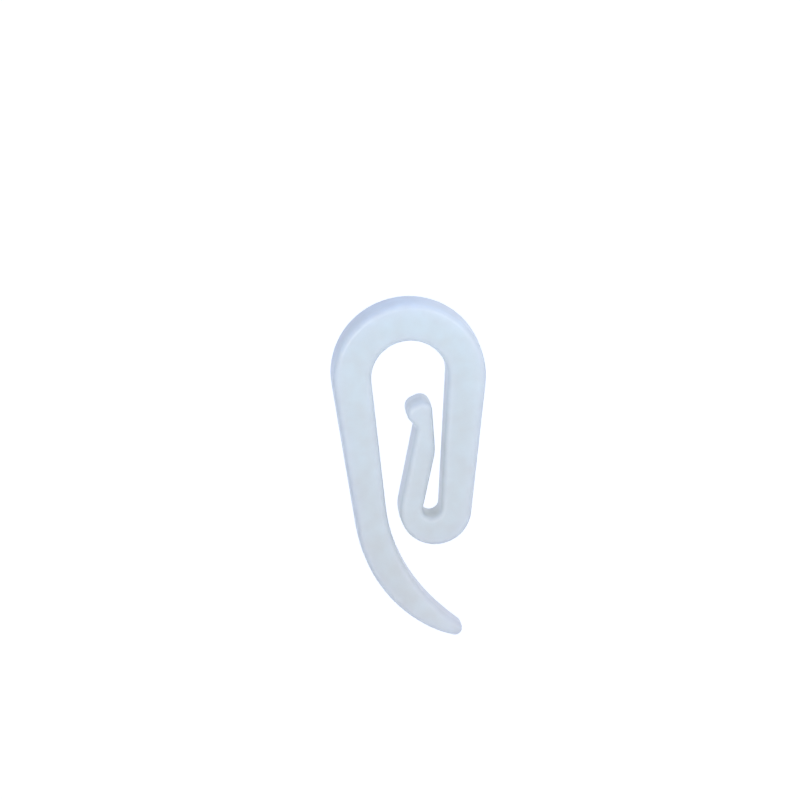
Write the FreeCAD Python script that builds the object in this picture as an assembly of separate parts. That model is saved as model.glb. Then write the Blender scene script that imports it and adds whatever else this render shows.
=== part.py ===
import FreeCAD, Part
import math
import os
from collections import namedtuple

# Curtain hook, moulded in one piece of milky plastic.
# Frame: x to the right, y away from the viewer, z up, in millimetres.
# The origin is the middle of the eye, half way through the thickness.

# A round of the outline: its centre and its radius.
# The radius is negative where the round is hollow, with the material outside it.
Round = namedtuple("Round", "x z radius")

# Section
THICKNESS = 3.0
DRAFT_DEG = 1.5          # each side face leans in from the parting line at mid-thickness
EDGE_RADIUS = 0.45       # rounding of the front and back edges

# Arch over the eye
EYE_RADIUS = 3.04
ARCH_WIDTH = 3.14
EYE = Round(0.0, 0.0, -EYE_RADIUS)
ARCH = Round(0.0, 0.0, EYE_RADIUS + ARCH_WIDTH)

# Tail, which the left leg runs down into and which narrows to its tip
TAIL_BACK = Round(7.12, -10.97, 11.47)
TAIL_HOLLOW = Round(12.33, -9.17, -14.3)
TIP_RADIUS = 0.58
NOSE_LENGTH = 3.0        # stretch before the tip in which the tail thins to a nose
NOSE_THICKNESS = 1.7     # thickness left at the very end

# Bend at the foot of the right leg, with the slot that parts leg and tongue
BEND = Round(2.11, -11.17, 2.91)
SLOT = Round(1.8, -11.0, -0.69)

# Spring tongue, which rises from the bend to a knob that shuts the eye
ELBOW = Round(-1.65, -5.99, 3.72)
HEAD_CORNER = Round(1.03, -2.8, 0.82)
KNOB = Round(0.7, -3.04, 0.92)
NECK = Round(-0.1, -4.32, -0.56)

FULL_TURN = 2 * math.pi
SHORTEST_EDGE = 1e-4     # rounds that touch have no straight edge between them
STEEPEST_FRONT = math.radians(45)   # a face that leans more than this belongs to the sides


def tip_between(back, hollow, radius):
    """The round that ends the tail: it touches the back of the tail and its hollow side."""
    from_back = back.radius - radius
    from_hollow = radius - hollow.radius
    apart_x = hollow.x - back.x
    apart_z = hollow.z - back.z
    apart = math.hypot(apart_x, apart_z)
    along = (from_back ** 2 - from_hollow ** 2 + apart ** 2) / (2 * apart)
    across = math.sqrt(from_back ** 2 - along ** 2)
    x = back.x + (along * apart_x + across * apart_z) / apart
    z = back.z + (along * apart_z - across * apart_x) / apart
    return Round(x, z, radius)


def straight_between(first, second):
    """Length of the straight edge that runs from one round to the next: none where they touch."""
    apart = math.hypot(second.x - first.x, second.z - first.z)
    step = first.radius - second.radius
    length = math.sqrt(max(0.0, apart ** 2 - step ** 2))
    return length if length > SHORTEST_EDGE else 0.0


def facing(first, second):
    """Direction, as an angle, that the edge from one round to the next faces."""
    heading = math.atan2(second.z - first.z, second.x - first.x)
    return heading - math.atan2(straight_between(first, second), first.radius - second.radius)


def on_round(item, angle, inset, y):
    """The point where a round, moved into the material by inset, faces in a direction."""
    reach = item.radius - inset
    return FreeCAD.Vector(item.x + reach * math.cos(angle), y, item.z + reach * math.sin(angle))


def outline(rounds, inset, y):
    """Closed wire that runs round the material, with straight tangent edges between the rounds."""
    followers = rounds[1:] + rounds[:1]
    angles = [facing(item, follower) for item, follower in zip(rounds, followers)]
    edges = []
    for index, item in enumerate(rounds):
        follower = followers[index]
        start = angles[index - 1]
        end = angles[index]
        if item.radius > 0:
            turn = (end - start) % FULL_TURN
        else:
            turn = -((start - end) % FULL_TURN)
        first = on_round(item, start, inset, y)
        middle = on_round(item, start + turn / 2, inset, y)
        last = on_round(item, end, inset, y)
        edges.append(Part.Arc(first, middle, last).toShape())
        if straight_between(item, follower):
            edges.append(Part.LineSegment(last, on_round(follower, end, inset, y)).toShape())
    return Part.Wire(edges)


def nose_cut(tip, side):
    """What is cut from the front (side -1) or back (side 1) of the tail's end to thin it to a nose."""
    start = facing(TAIL_BACK, tip)
    turn = (facing(tip, TAIL_HOLLOW) - start) % FULL_TURN
    heading = start + turn / 2
    ahead = FreeCAD.Vector(math.cos(heading), 0, math.sin(heading))
    out = FreeCAD.Vector(0, side, 0)
    end = FreeCAD.Vector(tip.x, 0, tip.z) + ahead * tip.radius
    depth = (THICKNESS - NOSE_THICKNESS) / 2
    radius = (NOSE_LENGTH ** 2 + depth ** 2) / (2 * depth)
    begin = end - ahead * NOSE_LENGTH + out * (THICKNESS / 2)
    centre = begin - out * radius
    past = math.asin((NOSE_LENGTH + TIP_RADIUS) / radius)
    middle = centre + ahead * (radius * math.sin(past / 2)) + out * (radius * math.cos(past / 2))
    last = centre + ahead * (radius * math.sin(past)) + out * (radius * math.cos(past))
    curve = Part.Arc(begin, middle, last).toShape()
    corner = last + out * (begin - last).dot(out) + out * THICKNESS
    straight = Part.makePolygon([last, corner, begin + out * THICKNESS, begin])
    across = ahead.cross(out) * THICKNESS
    face = Part.Face(Part.Wire([curve] + straight.Edges))
    face.translate(across / -2)
    return face.extrude(across)


def faces_the_viewer(face, point):
    """Whether a face at a point looks along the thickness rather than along the outline."""
    across, along = face.Surface.parameter(point)
    return abs(face.normalAt(across, along).y) > math.cos(STEEPEST_FRONT)


def rim_edges(body):
    """The edges where the front or back of the hook meets its sides."""
    rim = []
    for edge in body.Edges:
        point = edge.valueAt((edge.FirstParameter + edge.LastParameter) / 2)
        looks = [faces_the_viewer(face, point) for face in body.ancestorsOfType(edge, Part.Face)]
        if True in looks and False in looks:
            rim.append(edge)
    return rim


def curtain_hook():
    """The whole hook: two drafted halves that meet at the parting line, with rounded edges."""
    tip = tip_between(TAIL_BACK, TAIL_HOLLOW, TIP_RADIUS)
    rounds = [ARCH, TAIL_BACK, tip, TAIL_HOLLOW, EYE, SLOT, ELBOW, HEAD_CORNER, KNOB, NECK, BEND]
    half = THICKNESS / 2
    inset = half * math.tan(math.radians(DRAFT_DEG))
    front = outline(rounds, inset, -half)
    parting = outline(rounds, 0.0, 0.0)
    back = outline(rounds, inset, half)
    body = Part.makeLoft([front, parting, back], True, True)
    body = body.cut([nose_cut(tip, -1), nose_cut(tip, 1)]).Solids[0]
    return body.makeFillet(EDGE_RADIUS, rim_edges(body))


os.makedirs("parts", exist_ok=True)
hook = curtain_hook()
hook.exportStep("parts/curtain_hook.step")
box = hook.optimalBoundingBox()
print("valid", hook.isValid(), "solids", len(hook.Solids), "volume mm3", round(hook.Volume, 1))
print("size mm", round(box.XLength, 2), round(box.YLength, 2), round(box.ZLength, 2))
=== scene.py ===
import bpy
import math
from collections import namedtuple
from mathutils import Matrix, Vector


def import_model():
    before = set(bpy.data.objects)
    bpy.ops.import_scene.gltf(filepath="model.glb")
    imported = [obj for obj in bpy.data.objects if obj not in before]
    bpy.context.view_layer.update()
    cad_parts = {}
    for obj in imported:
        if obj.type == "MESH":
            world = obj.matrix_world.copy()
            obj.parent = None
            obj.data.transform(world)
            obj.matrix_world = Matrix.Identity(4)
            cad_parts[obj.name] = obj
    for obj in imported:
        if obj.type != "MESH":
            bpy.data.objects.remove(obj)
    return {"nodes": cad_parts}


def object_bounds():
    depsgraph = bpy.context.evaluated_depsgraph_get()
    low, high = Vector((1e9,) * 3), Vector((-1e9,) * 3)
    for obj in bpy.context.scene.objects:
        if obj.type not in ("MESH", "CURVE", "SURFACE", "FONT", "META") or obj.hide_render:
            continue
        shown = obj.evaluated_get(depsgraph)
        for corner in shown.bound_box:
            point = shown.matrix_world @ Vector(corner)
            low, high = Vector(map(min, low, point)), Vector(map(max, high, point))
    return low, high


# Looks of a moulded curtain hook in milky plastic, seen as it hangs by its eye.
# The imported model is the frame: metres, x to the right, y away from the viewer, z up, origin in the eye.
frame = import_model()
cad_low, cad_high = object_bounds()
hook = frame["nodes"]["curtain_hook"]

MM = 0.001

# View of the photograph: the camera stands a little to the left of the hook and looks down on it
AZIMUTH = math.radians(-5.8)
ELEVATION = math.radians(17.0)
IMAGE_PIXELS = 800
PIXEL_SIZE = 0.08 * MM               # at the hook
EYE_PIXEL = Vector((408.2, 373.5))   # where the middle of the eye shows in the image
LENS = 500.0                         # long, because the photograph shows hardly any perspective
SENSOR = 36.0
CLIP_START = 10 * MM
CLIP_END = 20.0

# Plastic: milky, with painted light and shade in its colour: painted a little lighter and cooler at the
# arch, for the cool light from above, and painted darker and greyer towards the tail
PLASTIC_ARCH_PAINTED_LIGHT = (0.685, 0.745, 0.74, 1.0)
PLASTIC_TAIL_PAINTED_SHADE = (0.625, 0.63, 0.60, 1.0)
PLASTIC_IOR = 1.49
SCATTER_LENGTH = 3.2 * MM            # how far light wanders inside the plastic
SCATTER_SHARES = (1.0, 1.0, 1.0)     # red, green and blue wander equally far
CLOUD_SIZE = 1.2 * MM                # faint clouds where the melt flowed
CLOUDING = 0.9                       # their strength, as a share of the painted change in light from tail to arch

# Skin of the plastic, as it left the mould
SMEAR_SIZE = 0.9 * MM                # patches of duller and shinier skin
SHINY_ROUGHNESS = 0.28
DULL_ROUGHNESS = 0.34
GRAIN_SIZE = 0.4 * MM                # fine unevenness of the mould's surface
GRAIN_HEIGHT = 0.003 * MM
PARTING_HALF = 0.1 * MM              # half the width of the line where the halves of the mould met
PARTING_HEIGHT = 0.006 * MM

# Floor
FLOOR_Z = -90 * MM                   # the hook hangs, so the floor is well below it
FLOOR_HALF = 1.2
FLOOR_ALBEDO = (0.70, 0.70, 0.69, 1.0)
FLOOR_GLOW = (0.62, 0.62, 0.60, 1.0)  # added where the floor is seen, so that it just reaches white

# Soft light of the room: a cool ceiling, a pale backdrop behind the hook and a screen in front of it,
# each with its colour, the side it comes from and the angle from there at which it has faded out
Glow = namedtuple("Glow", "colour side spread")
CEILING = Glow((0.42, 0.56, 1.04), (0.0, 0.0, 1.0), math.radians(90))
BACKDROP = Glow((0.80, 0.775, 0.75), (0.6, 0.8, 0.0), math.radians(90))
SCREEN = Glow((1.53, 1.55, 1.31), (0.0, -1.0, 0.0), math.radians(60))
WHITE = (1.0, 1.0, 0.97, 1.0)        # the room where it is seen, a trace warmer than pure white

# Lamps: two small softboxes in front of the hook, for its highlights, with their power in watts
LAMP_SIZE = 50 * MM
LEFT_LAMP = Vector((-53, -150, 5)) * MM
LEFT_POWER = 0.050
RIGHT_LAMP = Vector((60, -145, 20)) * MM
RIGHT_POWER = 0.025


def node(tree, kind, **settings):
    """A new node with its settings; a setting named after a socket fills that socket."""
    made = tree.nodes.new(kind)
    for name, value in settings.items():
        if hasattr(made, name):
            setattr(made, name, value)
        else:
            made.inputs[name.replace("_", " ")].default_value = value
    return made


def new_material(name):
    """An empty node material, its tree and its output node."""
    material = bpy.data.materials.new(name)
    material.use_nodes = True
    tree = material.node_tree
    tree.nodes.clear()
    return material, tree, tree.nodes.new("ShaderNodeOutputMaterial")


def noise(tree, place, size):
    """Soft random values from 0 to 1, with patches of about the given size."""
    made = node(tree, "ShaderNodeTexNoise", Scale=1 / size)
    tree.links.new(place, made.inputs["Vector"])
    return made.outputs["Fac"]


def seen_directly(tree):
    """A value that is 1 for rays from the camera, mirror-like reflections and see-through parts."""
    path = node(tree, "ShaderNodeLightPath")
    first = node(tree, "ShaderNodeMath", operation="MAXIMUM")
    both = node(tree, "ShaderNodeMath", operation="MAXIMUM")
    tree.links.new(path.outputs["Is Camera Ray"], first.inputs[0])
    tree.links.new(path.outputs["Is Glossy Ray"], first.inputs[1])
    tree.links.new(first.outputs[0], both.inputs[0])
    tree.links.new(path.outputs["Is Transmission Ray"], both.inputs[1])
    return both.outputs[0]


def cloudy_colour_with_painted_light(tree, place):
    """Colour with painted light and shade: lighter and cooler going up from the tail to the arch, with
    faint clouds in it.
    """
    parts = node(tree, "ShaderNodeSeparateXYZ")
    # painted light and shade: the base colour goes by height from the darker tail to the lighter, cooler
    # arch
    painted_light_share = node(tree, "ShaderNodeMapRange", From_Min=cad_low[2], From_Max=cad_high[2])
    cloud = node(tree, "ShaderNodeMapRange", To_Min=-CLOUDING / 2, To_Max=CLOUDING / 2)
    share = node(tree, "ShaderNodeMath", operation="ADD")
    mix = node(tree, "ShaderNodeMix", data_type="RGBA", clamp_factor=False)
    mix.inputs["A"].default_value = PLASTIC_TAIL_PAINTED_SHADE
    mix.inputs["B"].default_value = PLASTIC_ARCH_PAINTED_LIGHT
    tree.links.new(place, parts.inputs["Vector"])
    tree.links.new(parts.outputs["Z"], painted_light_share.inputs["Value"])
    tree.links.new(noise(tree, place, CLOUD_SIZE), cloud.inputs["Value"])
    tree.links.new(painted_light_share.outputs["Result"], share.inputs[0])
    tree.links.new(cloud.outputs["Result"], share.inputs[1])
    tree.links.new(share.outputs[0], mix.inputs["Factor"])
    return mix.outputs["Result"]


def skin_roughness(tree, place):
    """Roughness with duller and shinier patches."""
    smear = node(tree, "ShaderNodeMapRange", To_Min=SHINY_ROUGHNESS, To_Max=DULL_ROUGHNESS)
    tree.links.new(noise(tree, place, SMEAR_SIZE), smear.inputs["Value"])
    return smear.outputs["Result"]


def skin_relief(tree, place):
    """Fine grain of the mould, and the faint raised line where its halves met, at mid-thickness."""
    parts = node(tree, "ShaderNodeSeparateXYZ")
    away = node(tree, "ShaderNodeMath", operation="ABSOLUTE")
    line = node(tree, "ShaderNodeMapRange", interpolation_type="SMOOTHSTEP", From_Max=PARTING_HALF)
    line.inputs["To Min"].default_value = PARTING_HEIGHT
    line.inputs["To Max"].default_value = 0.0
    height = node(tree, "ShaderNodeMath", operation="MULTIPLY_ADD")
    height.inputs[1].default_value = GRAIN_HEIGHT
    bump = node(tree, "ShaderNodeBump", Distance=1.0)
    tree.links.new(place, parts.inputs["Vector"])
    tree.links.new(parts.outputs["Y"], away.inputs[0])
    tree.links.new(away.outputs[0], line.inputs["Value"])
    tree.links.new(noise(tree, place, GRAIN_SIZE), height.inputs[0])
    tree.links.new(line.outputs["Result"], height.inputs[2])
    tree.links.new(height.outputs[0], bump.inputs["Height"])
    return bump.outputs["Normal"]


def milky_plastic():
    """Milky plastic that lets light wander through it, with a semi-gloss moulded skin."""
    material, tree, output = new_material("milky_plastic_look")
    place = node(tree, "ShaderNodeTexCoord").outputs["Object"]
    shader = node(tree, "ShaderNodeBsdfPrincipled", IOR=PLASTIC_IOR, Subsurface_Weight=1.0)
    shader.inputs["Subsurface Radius"].default_value = SCATTER_SHARES
    shader.inputs["Subsurface Scale"].default_value = SCATTER_LENGTH
    tree.links.new(cloudy_colour_with_painted_light(tree, place), shader.inputs["Base Color"])
    tree.links.new(skin_roughness(tree, place), shader.inputs["Roughness"])
    tree.links.new(skin_relief(tree, place), shader.inputs["Normal"])
    tree.links.new(shader.outputs[0], output.inputs["Surface"])
    return material


def pale_floor():
    """Pale floor that shows white and still takes shadows."""
    material, tree, output = new_material("pale_floor")
    matt = node(tree, "ShaderNodeBsdfDiffuse", Color=FLOOR_ALBEDO)
    glow = node(tree, "ShaderNodeEmission", Color=FLOOR_GLOW)
    total = node(tree, "ShaderNodeAddShader")
    tree.links.new(seen_directly(tree), glow.inputs["Strength"])
    tree.links.new(matt.outputs[0], total.inputs[0])
    tree.links.new(glow.outputs[0], total.inputs[1])
    tree.links.new(total.outputs[0], output.inputs["Surface"])
    return material


def floor():
    """A wide floor under the hook."""
    mesh = bpy.data.meshes.new("floor")
    corners = [(-1, -1), (1, -1), (1, 1), (-1, 1)]
    points = [(x * FLOOR_HALF, y * FLOOR_HALF, FLOOR_Z) for x, y in corners]
    mesh.from_pydata(points, [], [(0, 1, 2, 3)])
    mesh.materials.append(pale_floor())
    made = bpy.data.objects.new("floor", mesh)
    bpy.context.scene.collection.objects.link(made)


def light_of(tree, glow):
    """Light of a glow by direction: full in its middle, fading out to nothing at its spread."""
    place = node(tree, "ShaderNodeTexCoord")
    reach = node(tree, "ShaderNodeVectorMath", operation="DOT_PRODUCT")
    reach.inputs[1].default_value = glow.side
    share = node(tree, "ShaderNodeMapRange", interpolation_type="SMOOTHSTEP")
    share.inputs["From Min"].default_value = math.cos(glow.spread)
    light = node(tree, "ShaderNodeVectorMath", operation="SCALE")
    light.inputs[0].default_value = glow.colour
    tree.links.new(place.outputs["Generated"], reach.inputs[0])
    tree.links.new(reach.outputs["Value"], share.inputs["Value"])
    tree.links.new(share.outputs["Result"], light.inputs["Scale"])
    return light.outputs["Vector"]


def world():
    """White where it is seen, and the soft light of the room where it lights the hook."""
    made = bpy.data.worlds.new("studio")
    made.use_nodes = True
    bpy.context.scene.world = made
    tree = made.node_tree
    tree.nodes.clear()
    output = tree.nodes.new("ShaderNodeOutputWorld")
    mix = node(tree, "ShaderNodeMix", data_type="RGBA")
    mix.inputs["B"].default_value = WHITE
    light = node(tree, "ShaderNodeBackground", Strength=1.0)
    room = light_of(tree, CEILING)
    for glow in (BACKDROP, SCREEN):
        both = node(tree, "ShaderNodeVectorMath", operation="ADD")
        tree.links.new(room, both.inputs[0])
        tree.links.new(light_of(tree, glow), both.inputs[1])
        room = both.outputs["Vector"]
    tree.links.new(room, mix.inputs["A"])
    tree.links.new(seen_directly(tree), mix.inputs["Factor"])
    tree.links.new(mix.outputs["Result"], light.inputs["Color"])
    tree.links.new(light.outputs[0], output.inputs["Surface"])


def lamp(name, place, power):
    """A square soft lamp that faces the eye of the hook."""
    data = bpy.data.lights.new(name, "AREA")
    data.size = LAMP_SIZE
    data.energy = power
    made = bpy.data.objects.new(name, data)
    made.location = place
    made.rotation_euler = place.to_track_quat("Z", "Y").to_euler()
    bpy.context.scene.collection.objects.link(made)


def camera():
    """The photograph's view, from far off with a long lens."""
    level = math.cos(ELEVATION)
    right = Vector((math.cos(AZIMUTH), math.sin(AZIMUTH), 0))
    back = Vector((math.sin(AZIMUTH) * level, -math.cos(AZIMUTH) * level, math.sin(ELEVATION)))
    up = back.cross(right)
    centre = Vector((IMAGE_PIXELS / 2, IMAGE_PIXELS / 2))
    offset = (centre - EYE_PIXEL) * PIXEL_SIZE
    target = right * offset.x - up * offset.y
    distance = IMAGE_PIXELS * PIXEL_SIZE * LENS / SENSOR
    data = bpy.data.cameras.new("camera")
    data.lens = LENS
    data.sensor_width = SENSOR
    data.clip_start = CLIP_START
    data.clip_end = CLIP_END
    made = bpy.data.objects.new("camera", data)
    turn = Matrix((right, up, back)).transposed()
    made.matrix_world = Matrix.Translation(target + back * distance) @ turn.to_4x4()
    bpy.context.scene.collection.objects.link(made)
    bpy.context.scene.camera = made


hook.data.materials.clear()
hook.data.materials.append(milky_plastic())
floor()
world()
lamp("left_softbox", LEFT_LAMP, LEFT_POWER)
lamp("right_softbox", RIGHT_LAMP, RIGHT_POWER)
camera()
bpy.context.scene.view_settings.view_transform = "Standard"
